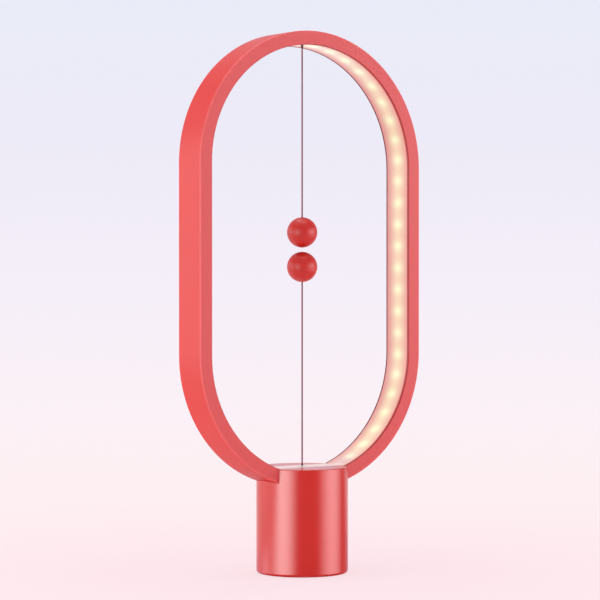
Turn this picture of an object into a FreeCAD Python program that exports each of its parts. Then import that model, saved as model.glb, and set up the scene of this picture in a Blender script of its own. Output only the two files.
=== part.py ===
import FreeCAD, Part
import math
import os

# Magnetic balance lamp: an upright stadium-shaped light frame standing in a round base. Two balls
# on threads, one hung from the top of the frame and one tied down to the base, hold each other in
# mid-air with magnets. The pull on the lower thread lifts a rod that works the switch in the base.
#
# Millimetres. +Z is up, X runs across the frame and Y through it, with -Y as the front.
# The origin is the centre of the foot, on the surface that the lamp stands on.

os.makedirs("parts", exist_ok=True)

Vector = FreeCAD.Vector
UP = Vector(0, 0, 1)
ACROSS = Vector(1, 0, 0)
THROUGH = Vector(0, 1, 0)

# How closely an edge must lie to a place to be taken as the edge there
same_place = 0.01

# ---- Driving dimensions ---------------------------------------------------------------------

# Light frame: a channel that is open inwards
lamp_height = 400.5
frame_width = 197.6
frame_depth = 29.2
frame_band = 9.5            # height of the channel's section, from outer face to inner edge
frame_seat_depth = 15.1     # lowest point of the frame below the top of the base
frame_wall = 2.5            # wall that runs round the outside
front_rim_thickness = 3.0
front_rim_reach = 0.7       # its inner edge lies this far inside the edge of the rear rim
rear_rim_thickness = 1.2
frame_edge_round = 0.8
rim_edge_round = 0.4
cover_lip_width = 1.5       # lip of the front cover that plugs into the channel
cover_lip_depth = 2.0
cover_fit = 0.05

# Milky strip that closes the channel
diffuser_thickness = 1.4
diffuser_recess = 0.2       # below the edge of the rear rim
diffuser_fit = 0.1
diffuser_gap_half = 20.0    # its ends stop this far from the middle, below the base's top
diffuser_ledge = 1.2        # thickness and width of the ledges that it rests on
diffuser_seat_gap = 0.1     # film of glue between it and the ledges

# Light strip
strip_width = 8.0
strip_thickness = 0.5
strip_gap_half = 10.0       # its ends stop this far from the middle of the base
led_pitch = 16.54
led_size = 5.0
led_height = 1.6
led_top_offset = 10.76      # from the middle of the top to the next chip, along the strip
led_seat_gap = 0.08         # a flat chip on the inside of a bend stands this clear
led_dish_radius = 1.9
led_dish_floor_radius = 1.5
led_dish_depth = 0.4

# Wires of the light strip
lead_diameter = 1.2
lead_spacing = 2.6
lead_bend = 2.2
lead_way_margin = 0.6       # from the end of the strip to the edge of the wires' way down

# Base
base_diameter = 68.0
base_height = 78.6
base_wall = 2.7
base_top_round = 0.5
base_bottom_round = 2.0
foot_step = 0.2             # height that the foot pad lifts the base
frame_fit = 0.1             # gap between the frame and the base
saddle_height = 4.0         # from the platform to the underside of the frame
platform_thickness = 2.5

# Top plate with its milky window
plate_thickness = 3.0
plate_fit = 0.1
plate_ledge_width = 2.0
plate_ledge_height = 2.0
window_thickness = 1.5
window_web = 2.5            # width of the plate left below each long edge of the window
window_light_half = 18.0    # half length of the opening below the window

# Bottom cover, foot pad and ballast
cover_thickness = 4.0
pad_thickness = 1.4
pad_margin = 1.6            # from the edge of the pad to the edge of the cover
ballast_radius = 22.0
ballast_height = 12.0
ballast_fit = 0.1
ballast_edge_round = 1.2
locating_rim_width = 1.5
locating_rim_height = 3.0

# Circuit board
board_underside = 24.0
board_thickness = 1.6
board_margin = 2.8          # from the board's edge to the inner wall
board_boss_radius = 3.0
board_boss_inset = 4.5      # from the inner wall to the middle of a boss
board_boss_angles = (30.0, 150.0, 270.0)
board_boss_web = 2.0
board_tab_width = 10.8      # tab below the socket
board_tab_gap = 0.7         # from the tab's end to the inner wall

# Parts on the board: the place of the middle in X and Y, then the sizes
driver_chip_place = (-15.0, 6.0)
driver_chip_size = (6.0, 5.0, 1.6)
driver_dimple_radius = 0.5
driver_dimple_inset = 1.0
driver_dimple_depth = 0.2
inductor_place = (-14.0, -7.0)
inductor_foot_size = (7.0, 7.0, 1.0)
inductor_core_radius = 3.1
inductor_height = 3.2
capacitor_place = (9.3, -12.0)
capacitor_foot_size = (6.6, 6.6, 0.8)
capacitor_radius = 3.1
capacitor_height = 7.0
resistor_place = (-4.4, 12.0)
resistor_size = (1.25, 2.0, 0.5)
resistor_pitch = 3.0
resistor_count = 4

# Inlet socket of the USB lead
socket_width = 8.94
socket_height = 3.26
socket_length = 7.35
socket_wall = 0.3
socket_recess = 1.1         # mouth behind the outside of the base
socket_back = 1.2           # thickness of its closed end
socket_fit = 0.22
tongue_width = 6.7
tongue_thickness = 0.7
tongue_length = 4.6

# Microswitch
switch_length = 12.8
switch_width = 5.8
switch_height = 6.4
switch_start = 1.5          # from the lamp's axis to the near end of the case
lever_pivot_inset = 0.9     # from the far end of the case to the lever's pivot
lever_pivot_height = 1.0    # above the case
lever_thickness = 0.3
lever_width = 4.0
lever_reach = 3.5           # past the lamp's axis
knuckle_radius = 0.9
pivot_pin_radius = 0.4
pivot_fit = 0.05
lever_side_gap = 0.2        # from the lever to the ears of the case
button_radius = 0.7
button_round = 0.23
button_arm = 4.4            # from the lever's pivot to the button
button_fit = 0.05
button_depth = 3.4
pin_length = 3.4
pin_width = 0.9
pin_thickness = 0.5
pin_pitch = 4.86
pin_hole_radius = 0.6
contact_gap = 0.05

# Pull rod, its guide and its spring
slider_travel = 2.0
rod_radius = 2.0
rod_fit = 0.06
rod_foot_round = 1.9
rod_tip_radius = 0.8
rod_tip_rise = 0.5          # top of the rod's thin tip above the base, pulled up
rod_seat_radius = 4.6
rod_seat_thickness = 1.4
rod_seat_height = 2.8       # underside of the spring seat above the rod's foot
rod_top_clearance = 0.4     # below the underside of the frame
guide_body_radius = 3.6
guide_flange_radius = 5.0
guide_flange_thickness = 1.0
guide_skirt_radius = 2.8
clip_radius = 3.4
clip_thickness = 0.5
clip_groove_depth = 0.4
clip_mouth_width = 2.3
stop_gap = 0.05
spring_radius = 3.5
spring_wire = 0.7
spring_turns = 7

# Threads, their beads and eyelets
upper_thread_diameter = 1.3
lower_thread_diameter = 0.95
upper_bead_radius = 1.0
lower_bead_radius = 0.8
bead_gap = 0.03
upper_bead_drop = 1.0       # middle of the upper bead below the edge of the rear rim
eyelet_radius = 1.6
eyelet_flange_radius = 2.6
eyelet_flange_thickness = 0.6
thread_fit = 0.1
knot_radius = 1.7
flare_radius = 3.0          # mouth of the eyelet in the base's top
flare_depth = 1.25
base_eyelet_radius = 3.8
base_eyelet_flange_radius = 4.8
base_eyelet_proud = 0.1

# Balls
ball_radius = 11.25
ball_wall = 1.65
ball_gap = 3.1              # between the two balls
upper_ball_height = 252.3   # middle of the upper ball
magnet_radius = 6.0
magnet_thickness = 5.0
magnet_depth = 7.2          # face of the magnet below the ball's middle
magnet_fit = 0.05
magnet_edge_round = 0.3
magnet_pocket_wall = 1.0
clamp_tube_radius = 4.0
clamp_tube_wall = 1.4
ball_lip_width = 0.8
ball_lip_height = 1.2

# Screws: head radius, head height, shank radius and shank length
case_screw = (2.2, 1.4, 1.15, 9.0)
board_screw = (2.1, 1.5, 1.15, 7.0)
frame_screw = (2.2, 1.4, 1.15, 13.0)
ballast_screw = (3.4, 1.6, 1.9, 9.0)
screw_fit = 0.05
frame_boss_radius = 2.4
frame_boss_height = 5.5
frame_screw_x = 16.0
frame_screw_y = 7.2

# ---- Sizes that follow ----------------------------------------------------------------------

frame_radius = frame_width / 2
inner_radius = frame_radius - frame_band
front_inner_radius = inner_radius - front_rim_reach
front_face = -frame_depth / 2
rear_face = frame_depth / 2
channel_near = front_rim_thickness - frame_depth / 2
channel_far = frame_depth / 2 - rear_rim_thickness
frame_underside = base_height - frame_seat_depth
upper_bend = lamp_height - frame_radius
lower_bend = frame_underside + frame_radius

diffuser_inner = inner_radius + diffuser_recess
diffuser_outer = diffuser_inner + diffuser_thickness
ledge_inner = diffuser_outer + diffuser_seat_gap
strip_outer = frame_radius - frame_wall
strip_inner = strip_outer - strip_thickness

lead_way_x = (-strip_gap_half - lead_way_margin, -strip_gap_half + lead_bend + lead_diameter)
lead_way_half = lead_spacing / 2 + lead_diameter

base_radius = base_diameter / 2
base_inner = base_radius - base_wall
slot_half = frame_depth / 2 + frame_fit
platform_top = frame_underside - saddle_height
platform_bottom = platform_top - platform_thickness
plate_underside = base_height - plate_thickness
window_underside = base_height - window_thickness

cover_top = foot_step + cover_thickness
ballast_top = cover_top + ballast_height
board_top = board_underside + board_thickness
board_radius = base_inner - board_margin
boss_circle = base_inner - board_boss_inset

switch_top = board_top + switch_height
pivot_x = switch_start + switch_length - lever_pivot_inset
pivot_z = switch_top + lever_pivot_height
lever_angle = math.atan(slider_travel / pivot_x)
button_x = pivot_x - button_arm
rod_foot = pivot_z + slider_travel + lever_thickness / 2 / math.cos(lever_angle) + contact_gap
seat_bottom = rod_foot + rod_seat_height
seat_top = seat_bottom + rod_seat_thickness
rod_shoulder = frame_underside - rod_top_clearance
rod_tip = base_height + rod_tip_rise
clip_bottom = platform_top + guide_flange_thickness + slider_travel + stop_gap

lower_bead_height = rod_tip + bead_gap + lower_bead_radius
lower_ball_height = upper_ball_height - 2 * ball_radius - ball_gap
upper_bead_height = upper_bend + inner_radius - upper_bead_drop
eyelet_bottom = upper_bead_height + upper_bead_radius + bead_gap
eyelet_top = upper_bend + diffuser_outer

# ---- Plain shapes ---------------------------------------------------------------------------


def disc(radius, bottom, top, x=0.0, y=0.0):
    """An upright cylinder between two heights."""
    return Part.makeCylinder(radius, top - bottom, Vector(x, y, bottom), UP)


def ring(outer, inner, bottom, top, x=0.0, y=0.0):
    """An upright tube between two heights."""
    return disc(outer, bottom, top, x, y).cut(disc(inner, bottom, top, x, y))


def block(x_range, y_range, z_range):
    """A box from its three pairs of limits."""
    corner = Vector(x_range[0], y_range[0], z_range[0])
    size = (x_range[1] - x_range[0], y_range[1] - y_range[0], z_range[1] - z_range[0])
    return Part.makeBox(size[0], size[1], size[2], corner)


def standing_block(place, size, bottom):
    """A box with its middle at a place in X and Y, standing at a height."""
    x, y = place
    length, width, height = size
    return block(
        (x - length / 2, x + length / 2), (y - width / 2, y + width / 2), (bottom, bottom + height)
    )


def stadium(radius, near, far):
    """A solid of the frame's outline, drawn at this radius, between two depths."""
    top = Vector(0, near, upper_bend + radius)
    bottom = Vector(0, near, lower_bend - radius)
    right_high = Vector(radius, near, upper_bend)
    right_low = Vector(radius, near, lower_bend)
    left_high = Vector(-radius, near, upper_bend)
    left_low = Vector(-radius, near, lower_bend)
    edges = [
        Part.Arc(left_high, top, right_high).toShape(),
        Part.LineSegment(right_high, right_low).toShape(),
        Part.Arc(right_low, bottom, left_low).toShape(),
        Part.LineSegment(left_low, left_high).toShape(),
    ]
    return Part.Face(Part.Wire(edges)).extrude(Vector(0, far - near, 0))


def stadium_band(outer, inner, near, far):
    """The frame's outline as a closed band, from an outer to an inner radius."""
    return stadium(outer, near, far).cut(stadium(inner, near, far))


def cut_all(shape, tools):
    """The shape less each tool."""
    for tool in tools:
        shape = shape.cut(tool)
    return shape


def fuse_all(shapes):
    """One solid of shapes that touch or overlap."""
    joined = shapes[0]
    for shape in shapes[1:]:
        joined = joined.fuse(shape)
    return joined.removeSplitter()


def round_frame_edges(shape, depth, radius, amount):
    """Rounds the edges of a frame piece that lie at one depth and one radius."""
    edges = []
    for edge in shape.Edges:
        bounds = edge.BoundBox
        flat = abs(bounds.YMin - depth) < same_place and abs(bounds.YMax - depth) < same_place
        reach = max(abs(bounds.XMin), abs(bounds.XMax))
        if flat and abs(reach - radius) < same_place:
            edges.append(edge)
    return shape.makeFillet(amount, edges)


def round_circles(shape, height, radius, amount):
    """Rounds the level circular edges about the lamp's axis at one height and radius."""
    edges = []
    for edge in shape.Edges:
        bounds = edge.BoundBox
        level = abs(bounds.ZMin - height) < same_place and abs(bounds.ZMax - height) < same_place
        curved = hasattr(edge.Curve, "Radius") and abs(edge.Curve.Radius - radius) < same_place
        if level and curved:
            edges.append(edge)
    return shape.makeFillet(amount, edges)


def screw(sizes, x, y, seat, direction):
    """A pan-head screw whose head rests on the seat; direction is +1 with the shank upwards."""
    head_radius, head_height, shank_radius, shank_length = sizes
    head = Part.makeCylinder(head_radius, head_height, Vector(x, y, seat), UP * -direction)
    shank = Part.makeCylinder(shank_radius, shank_length, Vector(x, y, seat), UP * direction)
    slot_width = head_radius / 4
    slot = block(
        (x - head_radius, x + head_radius),
        (y - slot_width / 2, y + slot_width / 2),
        sorted((seat - direction * head_height / 2, seat - direction * head_height)),
    )
    return head.fuse(shank).cut(slot).removeSplitter()


def screw_hole(sizes, x, y, bottom, top):
    """A clearance hole for a screw's shank between two heights."""
    return disc(sizes[2] + screw_fit, bottom, top, x, y)


def boss_places():
    """The middles of the bosses that carry the board and the bottom cover."""
    places = []
    for angle in board_boss_angles:
        turn = math.radians(angle)
        places.append((boss_circle * math.cos(turn), boss_circle * math.sin(turn)))
    return places


def frame_screw_places():
    """The four places where the frame is screwed down to its saddle."""
    return [(x, y) for x in (-frame_screw_x, frame_screw_x) for y in (-frame_screw_y, frame_screw_y)]


def save(shape, node):
    """Writes one node."""
    shape.exportStep("parts/" + node + ".step")


# ---- Light frame ----------------------------------------------------------------------------


def lead_way(bottom, top):
    """The way of the strip's two wires down into the base."""
    return block(lead_way_x, (-lead_way_half, lead_way_half), (bottom, top))


def frame_channel():
    """Outer wall and rear rim in one, with a ledge for the diffuser and four screw bosses."""
    body = stadium_band(frame_radius, inner_radius, channel_near, rear_face)
    hollow = stadium(frame_radius - frame_wall, channel_near, channel_far)
    ledge_outer = ledge_inner + diffuser_ledge
    ledge = stadium_band(ledge_outer, ledge_inner, channel_far - diffuser_ledge, channel_far)
    body = body.cut(hollow).fuse(ledge)
    inside = stadium(frame_radius - frame_wall / 2, front_face, rear_face)
    boss_top = frame_underside + frame_wall + frame_boss_height
    for x, y in frame_screw_places():
        body = body.fuse(disc(frame_boss_radius, frame_underside, boss_top, x, y).common(inside))
    body = body.removeSplitter()
    body = round_frame_edges(body, rear_face, frame_radius, frame_edge_round)
    body = round_frame_edges(body, rear_face, inner_radius, rim_edge_round)
    for x, y in frame_screw_places():
        body = body.cut(screw_hole(frame_screw, x, y, platform_top, boss_top))
    rod_way = disc(rod_radius, frame_underside - frame_wall, frame_underside + 2 * frame_wall)
    return cut_all(body, [rod_way, lead_way(platform_top, frame_underside + 2 * frame_wall)])


def frame_front_cover():
    """Flat front rim with a lip that plugs into the channel and a ledge for the diffuser."""
    plate = stadium_band(frame_radius, front_inner_radius, front_face, channel_near)
    lip_outer = frame_radius - frame_wall - cover_fit
    lip_end = channel_near + cover_lip_depth
    lip = stadium_band(lip_outer, lip_outer - cover_lip_width, channel_near, lip_end)
    ledge_outer = ledge_inner + diffuser_ledge
    ledge = stadium_band(ledge_outer, ledge_inner, channel_near, channel_near + diffuser_ledge)
    cover = fuse_all([plate, lip, ledge])
    cover = round_frame_edges(cover, front_face, frame_radius, frame_edge_round)
    return round_frame_edges(cover, front_face, front_inner_radius, rim_edge_round)


def frame_diffuser():
    """Milky strip between the rims, with an eyelet hole at the top and its ends in the base."""
    near = channel_near + diffuser_fit
    far = channel_far - diffuser_fit
    strip = stadium_band(diffuser_outer, diffuser_inner, near, far)
    gap = block((-diffuser_gap_half, diffuser_gap_half), (near, far), (0, base_height))
    hole = disc(eyelet_radius + thread_fit, upper_bead_height, eyelet_top + diffuser_ledge)
    return cut_all(strip, [gap, hole])


def led_strip():
    """Flexible circuit glued round the inside of the channel."""
    half = strip_width / 2
    strip = stadium_band(strip_outer, strip_inner, -half, half)
    return strip.cut(block((-strip_gap_half, strip_gap_half), (-half, half), (0, base_height)))


def place_on_strip(shape, distance):
    """Puts a shape, made upright at the origin, on the strip at a distance along it.

    The distance starts at the bottom of the frame and runs up the right side first.
    """
    bend = math.pi / 2 * strip_inner
    straight = upper_bend - lower_bend
    half_way = 2 * bend + straight
    side = 1
    if distance > half_way:
        side = -1
        distance = 2 * half_way - distance
    if distance < bend:
        angle = distance / strip_inner
        centre = lower_bend
    elif distance < bend + straight:
        angle = math.pi / 2
        centre = lower_bend + distance - bend
    else:
        angle = (distance - straight) / strip_inner
        centre = upper_bend
    foot = Vector(side * strip_inner * math.sin(angle), 0, centre - strip_inner * math.cos(angle))
    placed = shape.copy()
    placed.rotate(Vector(0, 0, 0), THROUGH, -side * math.degrees(angle))
    placed.translate(foot)
    return placed


def led_chips():
    """Light-emitting chips along the strip, each a separate solid."""
    body = standing_block((0, 0), (led_size, led_size, led_height), led_seat_gap)
    dish_floor = Vector(0, 0, led_seat_gap + led_height - led_dish_depth)
    dish = Part.makeCone(led_dish_floor_radius, led_dish_radius, led_dish_depth, dish_floor, UP)
    chip = body.cut(dish)
    half_way = math.pi * strip_inner + upper_bend - lower_bend
    end_margin = strip_gap_half + led_size
    distance = half_way - led_top_offset
    while distance - led_pitch > end_margin:
        distance -= led_pitch
    chips = []
    while distance < 2 * half_way - end_margin:
        chips.append(place_on_strip(chip, distance))
        distance += led_pitch
    return Part.makeCompound(chips)


def led_leads():
    """Two wires from the end of the strip down to the board."""
    strip_end = lower_bend - math.sqrt(strip_inner ** 2 - strip_gap_half ** 2)
    high = strip_end + lead_diameter / 2
    bend_middle = high - lead_bend
    leads = []
    for y in (-lead_spacing / 2, lead_spacing / 2):
        start = Vector(-strip_gap_half, y, high)
        turn = math.sqrt(0.5)
        middle = Vector(-strip_gap_half + lead_bend * turn, y, bend_middle + lead_bend * turn)
        corner = Vector(-strip_gap_half + lead_bend, y, bend_middle)
        end = Vector(corner.x, y, board_top)
        arc = Part.Arc(start, middle, corner).toShape()
        drop = Part.LineSegment(corner, end).toShape()
        path = Part.Wire([arc, drop])
        section = Part.Wire([Part.makeCircle(lead_diameter / 2, start, ACROSS)])
        leads.append(path.makePipeShell([section], True, True))
    return Part.makeCompound(leads)


def frame_screws():
    """Four screws from below the platform up into the frame's bosses."""
    seat = platform_bottom
    return Part.makeCompound([screw(frame_screw, x, y, seat, 1) for x, y in frame_screw_places()])


# ---- Base -----------------------------------------------------------------------------------


def base_sleeve():
    """Round housing with a platform, a saddle for the frame, a ledge and three bosses."""
    shell = ring(base_radius, base_inner, foot_step, base_height)
    shell = round_circles(shell, foot_step, base_radius, base_bottom_round)
    shell = round_circles(shell, base_height, base_radius, base_top_round)
    platform = disc(base_inner, platform_bottom, platform_top)
    ledge = ring(
        base_inner, base_inner - plate_ledge_width, plate_underside - plate_ledge_height, plate_underside
    )
    parts = [shell, platform, ledge]
    for x, y in boss_places():
        parts.append(disc(board_boss_radius, cover_top, board_underside, x, y))
        web = block(
            (boss_circle, base_inner + base_wall / 2),
            (-board_boss_web / 2, board_boss_web / 2),
            (cover_top, board_underside),
        )
        web.rotate(Vector(0, 0, 0), UP, math.degrees(math.atan2(y, x)))
        parts.append(web)
    saddle_top = frame_underside + frame_boss_height
    for x, y in frame_screw_places():
        parts.append(disc(board_boss_radius, platform_top, saddle_top, x, y))
    for y in (-frame_screw_y, frame_screw_y):
        parts.append(
            block(
                (-frame_screw_x, frame_screw_x),
                (y - board_boss_web / 2, y + board_boss_web / 2),
                (platform_top, saddle_top),
            )
        )
    body = fuse_all(parts)
    cuts = [stadium(frame_radius + frame_fit, -slot_half, slot_half)]
    for x, y in boss_places():
        cuts.append(screw_hole(case_screw, x, y, cover_top, board_underside))
    for x, y in frame_screw_places():
        cuts.append(screw_hole(frame_screw, x, y, platform_bottom, saddle_top))
    cuts.append(disc(guide_body_radius, platform_bottom, platform_top))
    cuts.append(lead_way(platform_bottom, platform_top))
    cuts.append(socket_outline(socket_fit, base_inner - base_wall, base_radius + base_wall))
    return cut_all(body, cuts)


def plate_clearance():
    """The frame's own room where it passes the top plate: the channel's, and the front rim's."""
    channel_room = stadium_band(frame_radius, inner_radius - frame_fit, -slot_half, slot_half)
    rim_inner = front_inner_radius - frame_fit
    rim_room = stadium_band(frame_radius, rim_inner, -slot_half, channel_near + frame_fit)
    return [channel_room, rim_room]


def base_top_plate():
    """Round plate inside the frame, with a stepped opening for the milky window."""
    plate = disc(base_inner - plate_fit, plate_underside, base_height)
    light_way = (channel_near + window_web, channel_far - window_web)
    light = block((-window_light_half, window_light_half), light_way, (plate_underside, base_height))
    step_way = (channel_near, channel_far)
    step = block((-base_radius, base_radius), step_way, (window_underside, base_height))
    return cut_all(plate, plate_clearance() + [light, step])


def base_top_window():
    """Milky strip across the top of the base, between the ends of the frame."""
    near = channel_near + diffuser_fit
    far = channel_far - diffuser_fit
    strip = block((-base_radius, base_radius), (near, far), (window_underside, base_height))
    inside = stadium(inner_radius - frame_fit, near, far)
    return strip.common(inside).cut(disc(base_eyelet_radius, window_underside, base_height))


def bottom_cover():
    """Round plate that closes the base, with a recess for the pad and a rim for the ballast."""
    plate = disc(base_inner - plate_fit, foot_step, cover_top)
    rim_inner = ballast_radius + ballast_fit
    rim = ring(rim_inner + locating_rim_width, rim_inner, cover_top, cover_top + locating_rim_height)
    cover = fuse_all([plate, rim])
    cuts = [disc(base_inner - pad_margin, foot_step, pad_thickness)]
    for x, y in boss_places():
        cuts.append(screw_hole(case_screw, x, y, foot_step, cover_top))
        cuts.append(disc(case_screw[0] + screw_fit, pad_thickness, pad_thickness + case_screw[1], x, y))
    cuts.append(screw_hole(ballast_screw, 0, 0, foot_step, cover_top))
    cuts.append(disc(ballast_screw[0] + screw_fit, pad_thickness, pad_thickness + ballast_screw[1]))
    return cut_all(cover, cuts)


def cover_screws():
    """Three screws that hold the bottom cover to the bosses, under the pad."""
    seat = pad_thickness + case_screw[1]
    return Part.makeCompound([screw(case_screw, x, y, seat, 1) for x, y in boss_places()])


def foot_pad():
    """Soft pad glued into the bottom cover; the lamp stands on it."""
    return disc(base_inner - pad_margin - plate_fit, 0, pad_thickness)


def ballast_weight():
    """Iron disc that keeps the lamp upright."""
    weight = disc(ballast_radius, cover_top, ballast_top)
    weight = round_circles(weight, ballast_top, ballast_radius, ballast_edge_round)
    return weight.cut(screw_hole(ballast_screw, 0, 0, cover_top, ballast_top))


# ---- Board, socket and switch ---------------------------------------------------------------


def socket_outline(margin, near, far):
    """A solid of the socket's rounded mouth, grown by a margin, between two depths."""
    half_width = socket_width / 2 + margin
    half_height = socket_height / 2 + margin
    middle = board_top + socket_height / 2
    straight = half_width - half_height
    core = block((-straight, straight), (near, far), (middle - half_height, middle + half_height))
    parts = [core]
    for x in (-straight, straight):
        parts.append(Part.makeCylinder(half_height, far - near, Vector(x, near, middle), THROUGH))
    return fuse_all(parts)


def usb_socket_shell():
    """Steel shell of the inlet socket, open to the rear."""
    mouth = base_radius - socket_recess
    shell = socket_outline(0.0, mouth - socket_length, mouth)
    back = mouth - socket_length + socket_back
    return shell.cut(socket_outline(-socket_wall, back, mouth))


def usb_socket_tongue():
    """Contact tongue inside the socket."""
    back = base_radius - socket_recess - socket_length + socket_back
    middle = board_top + socket_height / 2
    return block(
        (-tongue_width / 2, tongue_width / 2),
        (back, back + tongue_length),
        (middle - tongue_thickness / 2, middle + tongue_thickness / 2),
    )


def switch_pin_places():
    """The three switch pins along X."""
    middle = switch_start + switch_length / 2
    return [middle - pin_pitch, middle, middle + pin_pitch]


def main_board():
    """Circuit board on the bosses, with a tab under the socket."""
    board = disc(board_radius, board_underside, board_top)
    tab = block(
        (-board_tab_width / 2, board_tab_width / 2),
        (0, base_inner - board_tab_gap),
        (board_underside, board_top),
    )
    board = fuse_all([board, tab])
    cuts = []
    for x, y in boss_places():
        cuts.append(screw_hole(board_screw, x, y, board_underside, board_top))
    for x in switch_pin_places():
        cuts.append(disc(pin_hole_radius, board_underside, board_top, x, 0))
    return cut_all(board, cuts)


def board_screws():
    """Three screws that hold the board down on the bosses."""
    return Part.makeCompound([screw(board_screw, x, y, board_top, -1) for x, y in boss_places()])


def driver_chip():
    """Flat packaged circuit with a pin-one dimple."""
    body = standing_block(driver_chip_place, driver_chip_size, board_top)
    x = driver_chip_place[0] - driver_chip_size[0] / 2 + driver_dimple_inset
    y = driver_chip_place[1] + driver_chip_size[1] / 2 - driver_dimple_inset
    top = board_top + driver_chip_size[2]
    return body.cut(disc(driver_dimple_radius, top - driver_dimple_depth, top, x, y))


def power_inductor():
    """Square choke with a round core."""
    x, y = inductor_place
    foot = standing_block(inductor_place, inductor_foot_size, board_top)
    core = disc(inductor_core_radius, board_top, board_top + inductor_height, x, y)
    return fuse_all([foot, core])


def smoothing_capacitor():
    """Round can on a square foot."""
    x, y = capacitor_place
    foot = standing_block(capacitor_place, capacitor_foot_size, board_top)
    can = disc(capacitor_radius, board_top, board_top + capacitor_height, x, y)
    return fuse_all([foot, can])


def chip_resistors():
    """Small resistors in a row, each a separate solid."""
    first_x, y = resistor_place
    solids = []
    for index in range(resistor_count):
        place = (first_x + index * resistor_pitch, y)
        solids.append(standing_block(place, resistor_size, board_top))
    return Part.makeCompound(solids)


def switch_case():
    """Body of the microswitch, with two ears and a pin for the lever and a well for the button."""
    half = switch_width / 2
    case = block(
        (switch_start, switch_start + switch_length), (-half, half), (board_top, switch_top)
    )
    ear_inner = lever_width / 2 + lever_side_gap
    parts = [case]
    for low, high in ((-half, -ear_inner), (ear_inner, half)):
        parts.append(
            block(
                (pivot_x - knuckle_radius, pivot_x + knuckle_radius),
                (low, high),
                (switch_top, pivot_z + knuckle_radius),
            )
        )
    pin_end = Vector(pivot_x, -half, pivot_z)
    parts.append(Part.makeCylinder(pivot_pin_radius, switch_width, pin_end, THROUGH))
    body = fuse_all(parts)
    well_bottom = button_top() - button_depth - slider_travel / 2
    return body.cut(disc(button_radius + button_fit, well_bottom, switch_top, button_x, 0))


def button_top():
    """Top of the released button, just under the raised lever."""
    near_arm = button_arm - button_radius
    underside = pivot_z + near_arm * math.tan(lever_angle) - lever_thickness / 2 / math.cos(lever_angle)
    return underside - contact_gap / 2


def switch_button():
    """Small domed plunger that the lever presses."""
    top = button_top()
    button = disc(button_radius, top - button_depth, top, button_x, 0)
    edges = [edge for edge in button.Edges if edge.BoundBox.ZMin > top - same_place]
    return button.makeFillet(button_round, edges)


def switch_lever():
    """Steel strip on a pin, drawn raised: the rod above it is pulled up."""
    half = lever_width / 2
    heights = (pivot_z - lever_thickness / 2, pivot_z + lever_thickness / 2)
    strip = block((-lever_reach, pivot_x), (-half, half), heights)
    pin_end = Vector(pivot_x, -half, pivot_z)
    knuckle = Part.makeCylinder(knuckle_radius, lever_width, pin_end, THROUGH)
    bore = Part.makeCylinder(pivot_pin_radius + pivot_fit, lever_width, pin_end, THROUGH)
    lever = fuse_all([strip, knuckle]).cut(bore)
    lever.rotate(Vector(pivot_x, 0, pivot_z), THROUGH, math.degrees(lever_angle))
    return lever


def switch_pins():
    """Three pins from the switch down through the board, each a separate solid."""
    size = (pin_width, pin_thickness, pin_length)
    places = switch_pin_places()
    return Part.makeCompound([standing_block((x, 0), size, board_top - pin_length) for x in places])


# ---- Pull rod -------------------------------------------------------------------------------


def pull_rod():
    """Rod with a spring seat below and a thin tip that carries the lower thread."""
    thick = disc(rod_radius, rod_foot, rod_shoulder)
    thick = round_circles(thick, rod_foot, rod_radius, rod_foot_round)
    seat = disc(rod_seat_radius, seat_bottom, seat_top)
    tip = disc(rod_tip_radius, rod_shoulder, rod_tip)
    rod = fuse_all([thick, seat, tip])
    groove = ring(
        rod_radius, rod_radius - clip_groove_depth, clip_bottom, clip_bottom + clip_thickness + stop_gap
    )
    return rod.cut(groove)


def rod_clip():
    """Open retaining ring in the rod's groove; it stops the rod on its way down."""
    bore = rod_radius - clip_groove_depth + stop_gap
    clip = ring(clip_radius, bore, clip_bottom, clip_bottom + clip_thickness)
    half = clip_mouth_width / 2
    return clip.cut(block((0, clip_radius), (-half, half), (clip_bottom, clip_bottom + clip_thickness)))


def slider_guide():
    """Bush in the platform; its skirt runs down inside the spring and stops the rod's seat."""
    flange = disc(guide_flange_radius, platform_top, platform_top + guide_flange_thickness)
    body = disc(guide_body_radius, platform_bottom, platform_top)
    skirt = disc(guide_skirt_radius, seat_top + stop_gap, platform_bottom)
    guide = fuse_all([flange, body, skirt])
    bore = disc(rod_radius + rod_fit, seat_top, platform_top + guide_flange_thickness)
    return guide.cut(bore)


def return_spring():
    """Coil spring between the platform and the rod's seat; it pushes the rod down."""
    bottom = seat_top + spring_wire / 2 + stop_gap
    height = platform_bottom - stop_gap - spring_wire / 2 - bottom
    helix = Part.makeHelix(height / spring_turns, height, spring_radius)
    section = Part.Wire([Part.makeCircle(spring_wire / 2, Vector(spring_radius, 0, 0), THROUGH)])
    spring = Part.Wire(helix).makePipeShell([section], True, True)
    spring.translate(Vector(0, 0, bottom))
    return spring


# ---- Threads and balls ----------------------------------------------------------------------


def upper_eyelet():
    """Lining of the thread's hole in the diffuser, with its flange inside the channel."""
    tube = disc(eyelet_radius, eyelet_bottom, eyelet_top)
    flange = disc(eyelet_flange_radius, eyelet_top, eyelet_top + eyelet_flange_thickness)
    bore = disc(upper_thread_diameter / 2 + thread_fit, eyelet_bottom, eyelet_top + eyelet_flange_thickness)
    return fuse_all([tube, flange]).cut(bore)


def upper_thread_anchor():
    """Upper end of the thread: a short stretch through the eyelet and the knot above it."""
    seat = eyelet_top + eyelet_flange_thickness
    stub = disc(upper_thread_diameter / 2, eyelet_bottom, seat + knot_radius)
    knot = Part.makeSphere(knot_radius, Vector(0, 0, seat + knot_radius + bead_gap))
    return fuse_all([stub, knot])


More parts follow.
